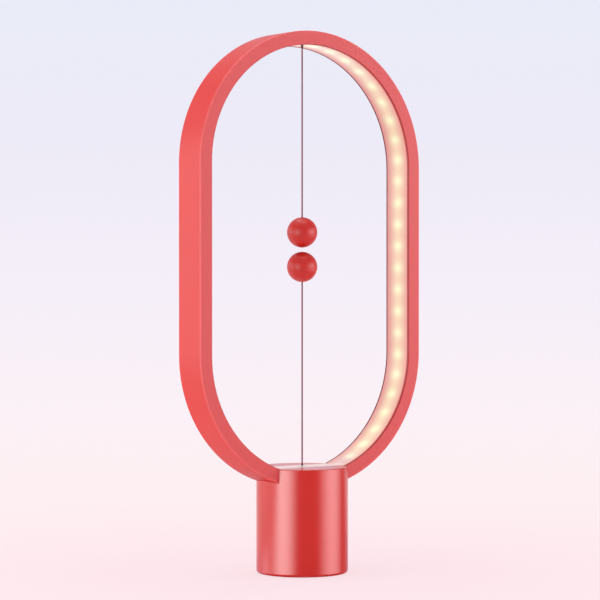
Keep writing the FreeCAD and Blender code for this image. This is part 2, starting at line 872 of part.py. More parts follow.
def lower_eyelet():
    """Flared eyelet in the window of the base, which the rod's tip and the thread pass."""
    top = base_height + base_eyelet_proud
    body = disc(base_eyelet_radius, window_underside, top)
    flange = disc(
        base_eyelet_flange_radius, window_underside - eyelet_flange_thickness, window_underside
    )
    bore = disc(
        rod_tip_radius + 2 * thread_fit, window_underside - eyelet_flange_thickness, top
    )
    flare = Part.makeCone(
        rod_tip_radius + 2 * thread_fit, flare_radius, flare_depth, Vector(0, 0, top - flare_depth), UP
    )
    return cut_all(fuse_all([body, flange]), [bore, flare])


def bead(radius, height):
    """Round bead at which a thread turns."""
    return Part.makeSphere(radius, Vector(0, 0, height))


def half_ball(radius, side):
    """Half of a ball about the origin: side +1 is the upper half, -1 the lower."""
    whole = Part.makeSphere(radius)
    heights = (0, radius) if side > 0 else (-radius, 0)
    return whole.common(block((-radius, radius), (-radius, radius), heights))


def ball_magnet_half():
    """Lower half of a ball, with a pocket for the magnet."""
    inner = ball_radius - ball_wall
    pocket_outer = magnet_radius + magnet_fit + magnet_pocket_wall
    hollow = half_ball(inner, -1).cut(disc(pocket_outer, -ball_radius, 0))
    pocket = disc(magnet_radius + magnet_fit, -magnet_depth, 0)
    return cut_all(half_ball(ball_radius, -1), [hollow, pocket])


def ball_thread_half(thread_diameter):
    """Upper half of a ball, with the thread's hole, a clamp tube for the magnet and a lip."""
    inner = ball_radius - ball_wall
    shell = half_ball(ball_radius, 1).cut(half_ball(inner, 1))
    magnet_back = -magnet_depth + magnet_thickness
    tube = ring(clamp_tube_radius, clamp_tube_radius - clamp_tube_wall, magnet_back, ball_radius)
    tube = tube.common(Part.makeSphere(inner + ball_wall / 2))
    lip_outer = inner - magnet_fit
    lip = ring(lip_outer, lip_outer - ball_lip_width, -ball_lip_height, ball_lip_height)
    lip = lip.common(Part.makeSphere(inner - magnet_fit))
    lip_root = ring(inner + ball_wall / 2, lip_outer - ball_lip_width, 0, ball_lip_height)
    half = fuse_all([shell, tube, lip, lip_root])
    return half.cut(disc(thread_diameter / 2 + thread_fit, 0, ball_radius))


def ball_magnet():
    """Disc magnet in its pocket."""
    magnet = disc(magnet_radius, -magnet_depth, -magnet_depth + magnet_thickness)
    circles = [edge for edge in magnet.Edges if hasattr(edge.Curve, "Radius")]
    return magnet.makeFillet(magnet_edge_round, circles)


def ball_knot():
    """Knot that keeps the thread in the ball, in the mouth of the clamp tube."""
    return Part.makeSphere(knot_radius, Vector(0, 0, knot_height()))


def knot_height():
    """Middle of the knot above the middle of its ball."""
    return ball_radius - ball_wall - knot_radius - bead_gap


def thread_end():
    """End of the thread above the middle of its ball, where it meets the knot."""
    return knot_height() + knot_radius + bead_gap


def upper_cord():
    """Taut thread from the upper bead down into the upper ball."""
    top = upper_bead_height - upper_bead_radius - bead_gap
    return disc(upper_thread_diameter / 2, upper_ball_height + thread_end(), top)


def lower_cord():
    """Taut thread from the lower bead up into the lower ball."""
    bottom = lower_bead_height + lower_bead_radius + bead_gap
    return disc(lower_thread_diameter / 2, bottom, lower_ball_height - thread_end())


def save_ball(name, height, thread_diameter, upside_down):
    """Writes the four pieces of one ball; the lower ball is the upper one upside down."""
    pieces = {
        name + "_ball_magnet_half": ball_magnet_half(),
        name + "_ball_thread_half": ball_thread_half(thread_diameter),
        name + "_ball_magnet": ball_magnet(),
        name + "_ball_knot": ball_knot(),
    }
    for node, piece in pieces.items():
        if upside_down:
            piece.rotate(Vector(0, 0, 0), ACROSS, 180)
        piece.translate(Vector(0, 0, height))
        save(piece, node)


# ---- Nodes ----------------------------------------------------------------------------------

save(frame_channel(), "frame_channel")
save(frame_front_cover(), "frame_front_cover")
save(frame_diffuser(), "frame_diffuser")
save(led_strip(), "led_strip")
save(led_chips(), "led_chips")
save(led_leads(), "led_leads")
save(frame_screws(), "frame_screws")

save(base_sleeve(), "base_sleeve")
save(base_top_plate(), "base_top_plate")
save(base_top_window(), "base_top_window")
save(bottom_cover(), "bottom_cover")
save(cover_screws(), "cover_screws")
save(foot_pad(), "foot_pad")
save(ballast_weight(), "ballast_weight")
save(screw(ballast_screw, 0, 0, pad_thickness + ballast_screw[1], 1), "ballast_screw")

save(main_board(), "main_board")
save(board_screws(), "board_screws")
save(driver_chip(), "driver_chip")
save(power_inductor(), "power_inductor")
save(smoothing_capacitor(), "smoothing_capacitor")
save(chip_resistors(), "chip_resistors")
save(usb_socket_shell(), "usb_socket_shell")
save(usb_socket_tongue(), "usb_socket_tongue")
save(switch_case(), "switch_case")
save(switch_pins(), "switch_pins")
save(switch_button(), "switch_button")
save(switch_lever(), "switch_lever")

save(pull_rod(), "pull_rod")
save(rod_clip(), "rod_clip")
save(slider_guide(), "slider_guide")
save(return_spring(), "return_spring")

save(upper_eyelet(), "upper_eyelet")
save(upper_thread_anchor(), "upper_thread_anchor")
save(bead(upper_bead_radius, upper_bead_height), "upper_bead")
save(upper_cord(), "upper_cord")
save_ball("upper", upper_ball_height, upper_thread_diameter, False)

save(lower_eyelet(), "lower_eyelet")
save(bead(lower_bead_radius, lower_bead_height), "lower_bead")
save(lower_cord(), "lower_cord")
save_ball("lower", lower_ball_height, lower_thread_diameter, True)
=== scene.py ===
"""Looks of a magnetic balance lamp, in the order in which the lamp is put together.

Metres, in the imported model's own frame: +Z up, X across the light frame, -Y the front.
"""

import math

import bmesh
import bpy
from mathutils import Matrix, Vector


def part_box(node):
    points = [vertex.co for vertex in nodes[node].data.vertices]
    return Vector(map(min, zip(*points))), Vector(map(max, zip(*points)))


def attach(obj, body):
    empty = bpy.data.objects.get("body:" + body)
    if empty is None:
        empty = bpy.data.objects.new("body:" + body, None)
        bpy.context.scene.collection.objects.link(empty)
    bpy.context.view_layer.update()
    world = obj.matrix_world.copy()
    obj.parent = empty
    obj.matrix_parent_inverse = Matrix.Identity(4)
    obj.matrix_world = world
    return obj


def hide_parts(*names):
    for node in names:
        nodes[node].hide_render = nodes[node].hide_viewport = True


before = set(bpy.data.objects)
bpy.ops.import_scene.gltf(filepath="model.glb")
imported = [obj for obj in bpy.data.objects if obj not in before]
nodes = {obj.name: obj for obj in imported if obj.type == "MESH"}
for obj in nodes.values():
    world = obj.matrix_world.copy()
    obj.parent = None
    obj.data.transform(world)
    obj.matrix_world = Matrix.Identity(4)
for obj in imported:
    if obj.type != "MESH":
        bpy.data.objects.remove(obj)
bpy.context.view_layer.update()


# ---- Light frame ----------------------------------------------------------------------------
# A moulded channel bent to an upright stadium, and the flat front rim that snaps into it.
# Both are moulded in red plastic with a matt, finely grained skin.

frame_red = (0.71, 0.020, 0.012, 1.0)
# front_shade_red: painted shade, a darker red on the front face, which gets less light
front_shade_red = (0.66, 0.021, 0.022, 1.0)
# rim_wall_shade and rear_wall_shade: painted shade on the inner walls of the front and rear rims
rim_wall_shade = (0.36, 0.006, 0.005, 1.0)
rear_wall_shade = (0.16, 0.004, 0.008, 1.0)
# diffuser_glow_on_wall: painted light from the diffuser on the front rim's inner wall next to it
diffuser_glow_on_wall = (0.85, 0.24, 0.20, 1.0)
# corner_highlight_red: a painted highlight along the rounded front corner
corner_highlight_red = (0.90, 0.130, 0.125, 1.0)
frame_gloss = 0.45
frame_index = 1.6
channel_low, channel_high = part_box("frame_channel")
front_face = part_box("frame_front_cover")[0].y
upper_bend = channel_high.z - channel_high.x
lower_bend = channel_low.z + channel_high.x
rear_rim_radius = 0.0893
front_rim_radius = 0.0886
wall_reach = 0.0001
wall_fade = 0.0003
# Depth behind the front face to which the front rim's wall gets painted shade, not painted glow
wall_shade_depth = 0.0016
wall_shade_fade = 0.0008
# Reach of the painted front-face shade and corner highlight from the front face and outer side
painted_light_reach = 0.0014


def add_node(tree, kind, inputs=None, **settings):
    """A node with its settings; an input given as a socket is linked, any other value is set."""
    made = tree.nodes.new(kind)
    for name, value in settings.items():
        setattr(made, name, value)
    for name, value in (inputs or {}).items():
        if isinstance(value, bpy.types.NodeSocket):
            tree.links.new(value, made.inputs[name])
        else:
            made.inputs[name].default_value = value
    return made


def calculate(tree, operation, *values):
    """The result of a math node on numbers or sockets."""
    return add_node(tree, "ShaderNodeMath", dict(enumerate(values)), operation=operation).outputs[0]


def new_group(kind, name, inputs, outputs):
    """A node group with named inputs, given with their defaults, and named outputs."""
    group = bpy.data.node_groups.new(name, kind)
    for socket_name, (socket_type, value) in inputs.items():
        socket = group.interface.new_socket(socket_name, in_out="INPUT", socket_type=socket_type)
        if value is not None:
            socket.default_value = value
    for socket_name, socket_type in outputs.items():
        group.interface.new_socket(socket_name, in_out="OUTPUT", socket_type=socket_type)
    return group, group.nodes.new("NodeGroupInput").outputs, group.nodes.new("NodeGroupOutput")


def use_group(tree, group, inputs):
    """The outputs of a shader group that is used in a tree with its own values."""
    return add_node(tree, "ShaderNodeGroup", inputs, node_tree=group).outputs


def object_place(tree):
    """The point on the piece, in metres."""
    return add_node(tree, "ShaderNodeTexCoord").outputs["Object"]


def split(tree, vector):
    """The x, y and z of a vector."""
    return add_node(tree, "ShaderNodeSeparateXYZ", {0: vector}).outputs


def scaled(tree, vector, factor):
    """A vector or a colour times a number."""
    values = {0: vector, "Scale": factor}
    return add_node(tree, "ShaderNodeVectorMath", values, operation="SCALE").outputs[0]


def noise(tree, place, scale, detail):
    """Cloudy noise from 0 to 1; detail is the number of finer clouds in it."""
    values = {"Vector": place, "Scale": scale, "Detail": detail}
    return add_node(tree, "ShaderNodeTexNoise", values).outputs["Fac"]


def bump(tree, height, distance, strength=1.0):
    """The normal of a surface whose relief follows a value from 0 to 1."""
    values = {"Height": height, "Distance": distance, "Strength": strength}
    return add_node(tree, "ShaderNodeBump", values).outputs[0]


def make_moulded_skin():
    """Skin of a moulding: cloudy shade and gloss, and a fine grain from the tool's surface."""
    group, given, out = new_group(
        "ShaderNodeTree",
        "moulded_skin",
        {
            "Color": ("NodeSocketColor", (0.5, 0.5, 0.5, 1.0)),
            "Shade Spread": ("NodeSocketFloat", 0.05),
            "Roughness": ("NodeSocketFloat", 0.4),
            "Roughness Spread": ("NodeSocketFloat", 0.05),
            "Cloud Scale": ("NodeSocketFloat", 30.0),
            "Grain Scale": ("NodeSocketFloat", 2500.0),
            "Grain Height": ("NodeSocketFloat", 0.00001),
        },
        {"Color": "NodeSocketColor", "Roughness": "NodeSocketFloat", "Normal": "NodeSocketVector"},
    )
    place = object_place(group)
    swing = calculate(group, "SUBTRACT", noise(group, place, given["Cloud Scale"], 4.0), 0.5)
    shade = calculate(group, "MULTIPLY_ADD", swing, given["Shade Spread"], 1.0)
    rough = calculate(group, "MULTIPLY_ADD", swing, given["Roughness Spread"], given["Roughness"])
    grain = noise(group, place, given["Grain Scale"], 2.0)
    group.links.new(scaled(group, given["Color"], shade), out.inputs["Color"])
    group.links.new(rough, out.inputs["Roughness"])
    group.links.new(bump(group, grain, given["Grain Height"]), out.inputs["Normal"])
    return group


moulded_skin = make_moulded_skin()


def new_material(name, **constants):
    """A material with constants on its shader's own sockets; returns it, its tree and shader."""
    made = bpy.data.materials.new(name)
    made.use_nodes = True
    shader = made.node_tree.nodes["Principled BSDF"]
    for socket, value in constants.items():
        shader.inputs[socket.replace("_", " ")].default_value = value
    return made, made.node_tree, shader


def connect(tree, shader, finish):
    """Feeds a shader from a group's outputs of the same names."""
    for socket in finish:
        tree.links.new(socket, shader.inputs["Base Color" if socket.name == "Color" else socket.name])


def moulding(name, color, roughness, constants=None, **skin):
    """A moulding or a casting; constants go to its shader, skin gives the group's other values."""
    made, tree, shader = new_material(name, **(constants or {}))
    values = {socket.replace("_", " "): value for socket, value in skin.items()}
    finish = use_group(tree, moulded_skin, {"Color": color, "Roughness": roughness, **values})
    connect(tree, shader, finish)
    return made


def dress(material, *names):
    """Gives CAD nodes a material in their own slot."""
    for name in names:
        nodes[name].material_slots[0].material = material


def smooth_range(tree, value, start, end, low=0.0, high=1.0):
    """A value that goes smoothly from low to high while another goes from start to end."""
    limits = {"Value": value, "From Min": start, "From Max": end, "To Min": low, "To Max": high}
    return add_node(tree, "ShaderNodeMapRange", limits, interpolation_type="SMOOTHSTEP").outputs[0]


def blend(tree, share, first, second, **settings):
    """A colour between two others."""
    colors = {"Factor": share, 6: first, 7: second}
    return add_node(tree, "ShaderNodeMix", colors, data_type="RGBA", **settings).outputs[2]


def stadium_place(tree):
    """A point's x, y and z, and its height held between the two bends of the stadium."""
    x, y, z = split(tree, object_place(tree))
    held = add_node(tree, "ShaderNodeClamp", {"Value": z, "Min": lower_bend, "Max": upper_bend})
    return x, y, z, held.outputs[0]


def frame_material():
    """Red plastic: painted shade on the rims' inner walls, a painted highlight on the front corner.

    The front face has a darker red as painted shade, and painted light from the diffuser
    tints the wall next to it.
    """
    made, tree, shader = new_material("red_frame_plastic", IOR=frame_index)
    x, y, z, held = stadium_place(tree)
    rise = calculate(tree, "SUBTRACT", z, held)
    outward = add_node(tree, "ShaderNodeCombineXYZ", {"X": x, "Z": rise}).outputs[0]
    radius = add_node(tree, "ShaderNodeVectorMath", {0: outward}, operation="LENGTH").outputs["Value"]
    behind = calculate(tree, "GREATER_THAN", y, 0.0)
    rim = calculate(tree, "MULTIPLY_ADD", behind, rear_rim_radius - front_rim_radius, front_rim_radius)
    past_rim = calculate(tree, "SUBTRACT", radius, rim)
    # Painted shade on the rims' inner walls, with painted glow from the diffuser on the front rim's wall
    # next to it.
    wall = smooth_range(tree, past_rim, wall_reach + wall_fade, wall_reach)
    dark_until = front_face + wall_shade_depth
    off_diffuser = smooth_range(tree, y, dark_until + wall_shade_fade, dark_until)
    painted_wall_light = blend(tree, off_diffuser, diffuser_glow_on_wall, rim_wall_shade)
    painted_wall_light = blend(tree, behind, painted_wall_light, rear_wall_shade)
    near_side = smooth_range(tree, radius, channel_high.x - painted_light_reach, channel_high.x)
    near_face = smooth_range(tree, y, front_face + painted_light_reach, front_face)
    # The front face gets front_shade_red as painted shade.
    color = blend(tree, wall, blend(tree, near_face, frame_red, front_shade_red), painted_wall_light)
    # Painted highlight along the rounded front corner.
    color = blend(tree, calculate(tree, "MULTIPLY", near_side, near_face), color, corner_highlight_red)
    skin = {"Color": color, "Roughness": frame_gloss, "Shade Spread": 0.06}
    connect(tree, shader, use_group(tree, moulded_skin, skin))
    return made


dress(frame_material(), "frame_channel", "frame_front_cover")


# ---- Light strip ----------------------------------------------------------------------------
# A white flexible circuit glued round the inside of the channel, with copper pads between the
# chips. Two insulated wires are soldered to its end and run down to the board in the base.

strip_thickness = 0.0005
strip_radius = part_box("led_strip")[1].x - strip_thickness
chip_pitch = 0.01654
chip_top_offset = 0.01076
pad_reach = 0.0011
pad_offset = 0.0021
pad_half_width = 0.0009
wire_red = (0.50, 0.02, 0.02, 1.0)
wire_black = (0.02, 0.02, 0.02, 1.0)


def make_along_frame():
    """Where a point lies along the light strip: its way from the nearest chip, and across."""
    group, given, out = new_group(
        "ShaderNodeTree",
        "along_frame",
        {
            "Strip Radius": ("NodeSocketFloat", strip_radius),
            "Chip Pitch": ("NodeSocketFloat", chip_pitch),
            "Top Offset": ("NodeSocketFloat", chip_top_offset),
        },
        {"Beside Chip": "NodeSocketFloat", "Across": "NodeSocketFloat", "Height": "NodeSocketFloat"},
    )
    x, y, z, held = stadium_place(group)
    drop = calculate(group, "SUBTRACT", held, z)
    turn = calculate(group, "ARCTAN2", calculate(group, "ABSOLUTE", x), drop)
    from_crown = calculate(group, "SUBTRACT", math.pi, turn)
    bend_way = calculate(group, "MULTIPLY", from_crown, given["Strip Radius"])
    side_way = calculate(group, "SUBTRACT", upper_bend, held)
    from_top = calculate(group, "ADD", bend_way, side_way)
    signed = calculate(group, "MULTIPLY", from_top, calculate(group, "SIGN", x))
    past_chip = calculate(group, "SUBTRACT", signed, given["Top Offset"])
    half_pitch = calculate(group, "MULTIPLY", given["Chip Pitch"], 0.5)
    beside = calculate(
        group, "WRAP", past_chip, half_pitch, calculate(group, "MULTIPLY", half_pitch, -1.0)
    )
    group.links.new(beside, out.inputs["Beside Chip"])
    group.links.new(y, out.inputs["Across"])
    group.links.new(z, out.inputs["Height"])
    return group


along_frame = make_along_frame()


def circuit_strip_material():
    """White solder mask with a pair of bare copper pads half way between two chips."""
    mask_white = (0.78, 0.77, 0.73, 1.0)
    copper = (0.75, 0.42, 0.22, 1.0)
    made, tree, shader = new_material("flexible_circuit", Specular_IOR_Level=0.5)
    place = use_group(tree, along_frame, {})
    away = calculate(tree, "ABSOLUTE", place["Beside Chip"])
    between = calculate(tree, "GREATER_THAN", away, chip_pitch / 2 - pad_reach)
    across = calculate(tree, "ABSOLUTE", place["Across"])
    from_middle = calculate(tree, "ABSOLUTE", calculate(tree, "SUBTRACT", across, pad_offset))
    on_pad = calculate(tree, "LESS_THAN", from_middle, pad_half_width)
    pad = calculate(tree, "MULTIPLY", between, on_pad)
    skin = use_group(tree, moulded_skin, {"Color": mask_white, "Roughness": 0.45})
    connect(tree, shader, skin)
    tree.links.new(blend(tree, pad, skin["Color"], copper), shader.inputs["Base Color"])
    tree.links.new(pad, shader.inputs["Metallic"])
    return made


def lead_material():
    """Soft insulation: the wire nearer the rear is red, the other black."""
    made, tree, shader = new_material("wire_insulation")
    y = split(tree, object_place(tree))["Y"]
    color = blend(tree, calculate(tree, "GREATER_THAN", y, 0.0), wire_black, wire_red)
    connect(tree, shader, use_group(tree, moulded_skin, {"Color": color, "Roughness": 0.45}))
    return made


dress(circuit_strip_material(), "led_strip")
dress(lead_material(), "led_leads")


# ---- LED chips ------------------------------------------------------------------------------
# Square white packages on the strip, one every pitch from the foot of the right side, over the
# top and down the left. Each has a round cup of yellow phosphor and six tinned terminals.

chip_count = 52
chip_size = 0.005
chip_height = 0.0016
chip_chamfer = chip_size / 20
chip_seat_gap = 0.00008
cup_radius = 0.0019
cup_floor_radius = cup_radius * 0.8
cup_depth = 0.0004
lens_radius = cup_radius * 0.4
lens_depth = cup_depth * 0.5
terminal_width = 0.0009
terminal_reach = 0.00018
terminal_height = chip_height / 2
terminal_pitch = chip_size / 3
package_part, phosphor_part, terminal_part = range(3)


def add_object(name, data):
    """A new object in the scene."""
    made = bpy.data.objects.new(name, data)
    bpy.context.scene.collection.objects.link(made)
    return made


def stadium_line(name, radius):
    """The stadium at a radius as one open line, from the foot's middle up the right side."""
    steps = 180
    points = []
    for middle, start in ((lower_bend, 0.0), (upper_bend, math.pi / 2)):
        for step in range(steps + 1):
            turn = start + math.pi / 2 * step / steps
            points.append((radius * math.sin(turn), middle - radius * math.cos(turn)))
    points += [(-x, z) for x, z in reversed(points)][1:]
    edges = [(index, index + 1) for index in range(len(points) - 1)]
    line = bpy.data.meshes.new(name)
    line.from_pydata([(x, 0.0, z) for x, z in points], edges, [])
    return add_object(name, line)


def chip_body():
    """One chip, standing on the origin, with its cup and terminals; its faces say their part."""
    shape = bmesh.new()
    part = shape.faces.layers.int.new("part")
    half = chip_size / 2
    low = chip_seat_gap
    high = chip_seat_gap + chip_height
    sides = 24

    def loop(points):
        return [shape.verts.new(point) for point in points]

    def square(size, z):
        points = []
        for index in range(sides):
            turn = 2 * math.pi * (index + 0.5) / sides
            reach = size / max(abs(math.cos(turn)), abs(math.sin(turn)))
            points.append((reach * math.cos(turn), reach * math.sin(turn), z))
        return loop(points)

    def circle(radius, z):
        turns = [2 * math.pi * (index + 0.5) / sides for index in range(sides)]
        return loop([(radius * math.cos(turn), radius * math.sin(turn), z) for turn in turns])

    def join(first, second, number=package_part):
        for index in range(sides):
            after = (index + 1) % sides
            face = shape.faces.new((first[index], first[after], second[after], second[index]))
            face[part] = number

    foot = square(half, low)
    rings = [foot, square(half, high - chip_chamfer), square(half - chip_chamfer, high)]
    rings += [circle(cup_radius, high), circle(cup_floor_radius, high - cup_depth)]
    for first, second in zip(rings, rings[1:]):
        join(first, second)
    shape.faces.new(list(reversed(foot)))
    lens = circle(lens_radius, high - lens_depth)
    join(rings[-1], lens, phosphor_part)
    shape.faces.new(lens)[part] = phosphor_part
    for side in (-1, 1):
        for place in (-1, 0, 1):
            x = side * (half + terminal_reach / 2)
            middle = Vector((x, place * terminal_pitch, low + terminal_height / 2))
            box = bmesh.ops.create_cube(shape, size=1.0)
            size = Vector((terminal_reach, terminal_width, terminal_height))
            bmesh.ops.scale(shape, vec=size, verts=box["verts"])
            bmesh.ops.translate(shape, vec=middle, verts=box["verts"])
            for face in {face for vert in box["verts"] for face in vert.link_faces}:
                face[part] = terminal_part
    mesh = bpy.data.meshes.new("chip_body")
    shape.to_mesh(mesh)
    shape.free()
    return add_object("chip_body", mesh)


def chip_materials():
    """White package, glowing phosphor and tinned terminals, in the order of the parts' numbers."""
    package = moulding("chip_package", (0.8, 0.79, 0.75, 1.0), roughness=0.35)
    phosphor = moulding(
        "chip_phosphor",
        (0.9, 0.62, 0.12, 1.0),
        roughness=0.3,
        constants={"Emission_Color": (1.0, 0.75, 0.35, 1.0), "Emission_Strength": 0.6},
        Cloud_Scale=900.0,
    )
    phosphor.cycles.emission_sampling = "NONE"
    tinned = moulding(
        "chip_terminal", (0.62, 0.62, 0.6, 1.0), roughness=0.3, constants={"Metallic": 1.0}
    )
    return package, phosphor, tinned


def chips_tree(materials):
    """Sets a chip on a line every pitch, facing the middle of the stadium."""
    group, given, out = new_group(
        "GeometryNodeTree",
        "chips_along_strip",
        {
            "Strip": ("NodeSocketGeometry", None),
            "Chip": ("NodeSocketObject", None),
            "First Chip": ("NodeSocketFloat", chip_pitch),
            "Chip Pitch": ("NodeSocketFloat", chip_pitch),
            "Chip Count": ("NodeSocketInt", chip_count),
        },
        {"Chips": "NodeSocketGeometry"},
    )
    line = add_node(group, "GeometryNodeMeshToCurve", {"Mesh": given["Strip"]})
    gaps = calculate(group, "SUBTRACT", given["Chip Count"], 1.0)
    last = calculate(group, "MULTIPLY_ADD", gaps, given["Chip Pitch"], given["First Chip"])
    used = add_node(group, "GeometryNodeTrimCurve", {"Curve": line.outputs[0]}, mode="LENGTH")
    group.links.new(given["First Chip"], used.inputs[4])
    group.links.new(last, used.inputs[5])
    places = add_node(
        group,
        "GeometryNodeCurveToPoints",
        {"Curve": used.outputs[0], "Count": given["Chip Count"]},
        mode="COUNT",
    )
    inward = add_node(
        group,
        "ShaderNodeVectorMath",
        {0: places.outputs["Tangent"], 1: (0.0, 1.0, 0.0)},
        operation="CROSS_PRODUCT",
    )
    facing = add_node(
        group, "FunctionNodeAlignRotationToVector", {"Vector": inward.outputs[0]}, axis="Z"
    )
    square_on = add_node(
        group,
        "FunctionNodeAlignRotationToVector",
        {"Rotation": facing.outputs[0], "Vector": (0.0, 1.0, 0.0)},
        axis="Y",
        pivot_axis="Z",
    )
    chip = add_node(group, "GeometryNodeObjectInfo", {"Object": given["Chip"]})
    placed = add_node(
        group,
        "GeometryNodeInstanceOnPoints",
        {
            "Points": places.outputs["Points"],
            "Instance": chip.outputs["Geometry"],
            "Rotation": square_on.outputs[0],
        },
    )
    shape = add_node(group, "GeometryNodeRealizeInstances", {0: placed.outputs[0]}).outputs[0]
    part = add_node(group, "GeometryNodeInputNamedAttribute", {"Name": "part"}, data_type="INT")
    for number, material in enumerate(materials):
        chosen = add_node(
            group,
            "FunctionNodeCompare",
            {2: part.outputs["Attribute"], 3: number},
            data_type="INT",
            operation="EQUAL",
        )
        shape = add_node(
            group,
            "GeometryNodeSetMaterial",
            {"Geometry": shape, "Selection": chosen.outputs[0], "Material": material},
        ).outputs[0]
    group.links.new(shape, out.inputs["Chips"])
    return group


def grow(start, group, name, values):
    """The plain mesh that a Geometry Nodes tree makes from an object, in a new object."""
    modifier = start.modifiers.new(name, "NODES")
    modifier.node_group = group
    for socket in group.interface.items_tree:
        if socket.in_out == "INPUT" and socket.name in values:
            modifier[socket.identifier] = values[socket.name]
    ready = start.evaluated_get(bpy.context.evaluated_depsgraph_get())
    made = add_object(name, bpy.data.meshes.new_from_object(ready))
    start.modifiers.remove(modifier)
    return made


def clear_away(*objects):
    """Removes the objects that only served to make a piece."""
    for done in objects:
        bpy.data.objects.remove(done)


half_way = math.pi * strip_radius + upper_bend - lower_bend
strip_line = stadium_line("strip_line", strip_radius)
one_chip = chip_body()
chips = grow(
    strip_line,
    chips_tree(chip_materials()),
    "light_chips",
    {
        "Chip": one_chip,
        "First Chip": (half_way - chip_top_offset) % chip_pitch,
        "Chip Pitch": chip_pitch,
        "Chip Count": chip_count,
    },
)
clear_away(strip_line, one_chip)
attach(chips, "base")
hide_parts("led_chips")


# ---- Diffuser and window --------------------------------------------------------------------
# Milky strip that closes the channel, and the one across the top of the base. The light comes
# through it as a warm field with a brighter spot over each chip, redder towards the rims.

diffuser_low, diffuser_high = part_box("frame_diffuser")
milk = (0.33, 0.18, 0.17, 1.0)
field_light = (0.54, 0.42, 0.235, 1.0)
rear_rim_light = (0.36, 0.045, 0.045, 1.0)
front_rim_light = (0.45, 0.15, 0.09, 1.0)
foot_light = (0.37, 0.19, 0.22, 1.0)
crown_light = (0.54, 0.45, 0.33, 1.0)
foot_bend_light = (0.15, 0.165, 0.135, 1.0)
crown_bend_light = (0.03, 0.065, 0.07, 1.0)
spot_light = (0.06, 0.28, 0.15, 1.0)
spot_length = 0.0040
spot_width = 0.0062
foot_light_top = 0.0915
foot_light_full = 0.0795
crown_light_foot = 0.355
crown_light_full = 0.388
rim_light_full = 1.1


def make_chip_glow():
    """Light that a milky sheet shows over the chips: a field, its edges and the spots."""
    group, given, out = new_group(
        "ShaderNodeTree",
        "chip_glow",
        {
            "Field": ("NodeSocketColor", field_light),
            "Rear Rim": ("NodeSocketColor", rear_rim_light),
            "Front Rim": ("NodeSocketColor", front_rim_light),
            "Foot": ("NodeSocketColor", foot_light),
            "Crown": ("NodeSocketColor", crown_light),
            "Foot Bend": ("NodeSocketColor", foot_bend_light),
            "Crown Bend": ("NodeSocketColor", crown_bend_light),
            "Spot": ("NodeSocketColor", spot_light),
            "Spot Length": ("NodeSocketFloat", spot_length),
            "Spot Width": ("NodeSocketFloat", spot_width),
            "Rear Edge": ("NodeSocketFloat", diffuser_high.y),
            "Front Edge": ("NodeSocketFloat", diffuser_low.y),
        },
        {"Color": "NodeSocketColor"},
    )
    place = use_group(group, along_frame, {})
    near_foot = smooth_range(group, place["Height"], foot_light_top, foot_light_full)
    near_crown = smooth_range(group, place["Height"], crown_light_foot, crown_light_full)
    field = blend(group, near_foot, given["Field"], given["Foot"])
    field = blend(group, near_crown, field, given["Crown"])
    for side in ("Rear ", "Front "):
        share = calculate(group, "DIVIDE", place["Across"], given[side + "Edge"])
        near_rim = smooth_range(group, share, 0.0, rim_light_full)
        field = blend(group, near_rim, field, given[side + "Rim"])
    bends = {"Foot Bend": (lower_bend, diffuser_low.z), "Crown Bend": (upper_bend, diffuser_high.z)}
    for name, (start, end) in bends.items():
        turned = smooth_range(group, place["Height"], start, end)
        field = blend(group, turned, field, given[name], blend_type="ADD")
    beside = calculate(group, "DIVIDE", place["Beside Chip"], given["Spot Length"])
    sideways = calculate(group, "DIVIDE", place["Across"], given["Spot Width"])
    beside_squared = calculate(group, "POWER", beside, 2.0)
    sideways_squared = calculate(group, "POWER", sideways, 2.0)
    reach = calculate(group, "ADD", beside_squared, sideways_squared)
    spot = calculate(group, "EXPONENT", calculate(group, "MULTIPLY", reach, -1.0))
    group.links.new(blend(group, spot, field, given["Spot"], blend_type="ADD"), out.inputs["Color"])
    return group


chip_glow = make_chip_glow()


def milky(name, glow):
    """Milky plastic that is lit from behind."""
    made, tree, shader = new_material(name, Emission_Strength=1.0)
    skin = use_group(
        tree, moulded_skin, {"Color": milk, "Roughness": 0.32, "Shade Spread": 0.03, "Cloud Scale": 60.0}
    )
    connect(tree, shader, skin)
    tree.links.new(use_group(tree, chip_glow, glow)["Color"], shader.inputs["Emission Color"])
    return made


dress(milky("milky_diffuser", {}), "frame_diffuser")
no_light = (0.0, 0.0, 0.0, 1.0)
window_glow = {
    "Foot": (0.50, 0.38, 0.34, 1.0),
    "Foot Bend": no_light,
    "Rear Rim": (0.34, 0.24, 0.23, 1.0),
    "Front Rim": (0.16, 0.06, 0.05, 1.0),
    "Spot": no_light,
}
dress(milky("milky_window", window_glow), "base_top_window")


# ---- Base -----------------------------------------------------------------------------------
# A red moulded sleeve with the frame's saddle inside, its top plate and its bottom cover. They
# are a little glossier than the frame. Self-tapping screws of zinc-plated steel hold them.

base_red = (0.625, 0.012, 0.005, 1.0)
base_gloss = 0.26
plate_red = (0.72, 0.035, 0.030, 1.0)
plate_gloss = 0.25
base_index = 1.75
drawn_streaks = (3000.0, 3000.0, 200.0)


def streaks_along(tree, scale):
    """Noise stretched to streaks along the axis that has the smallest scale."""
    values = {0: object_place(tree), 1: scale}
    stretched = add_node(tree, "ShaderNodeVectorMath", values, operation="MULTIPLY").outputs[0]
    return noise(tree, stretched, 1.0, 3.0)


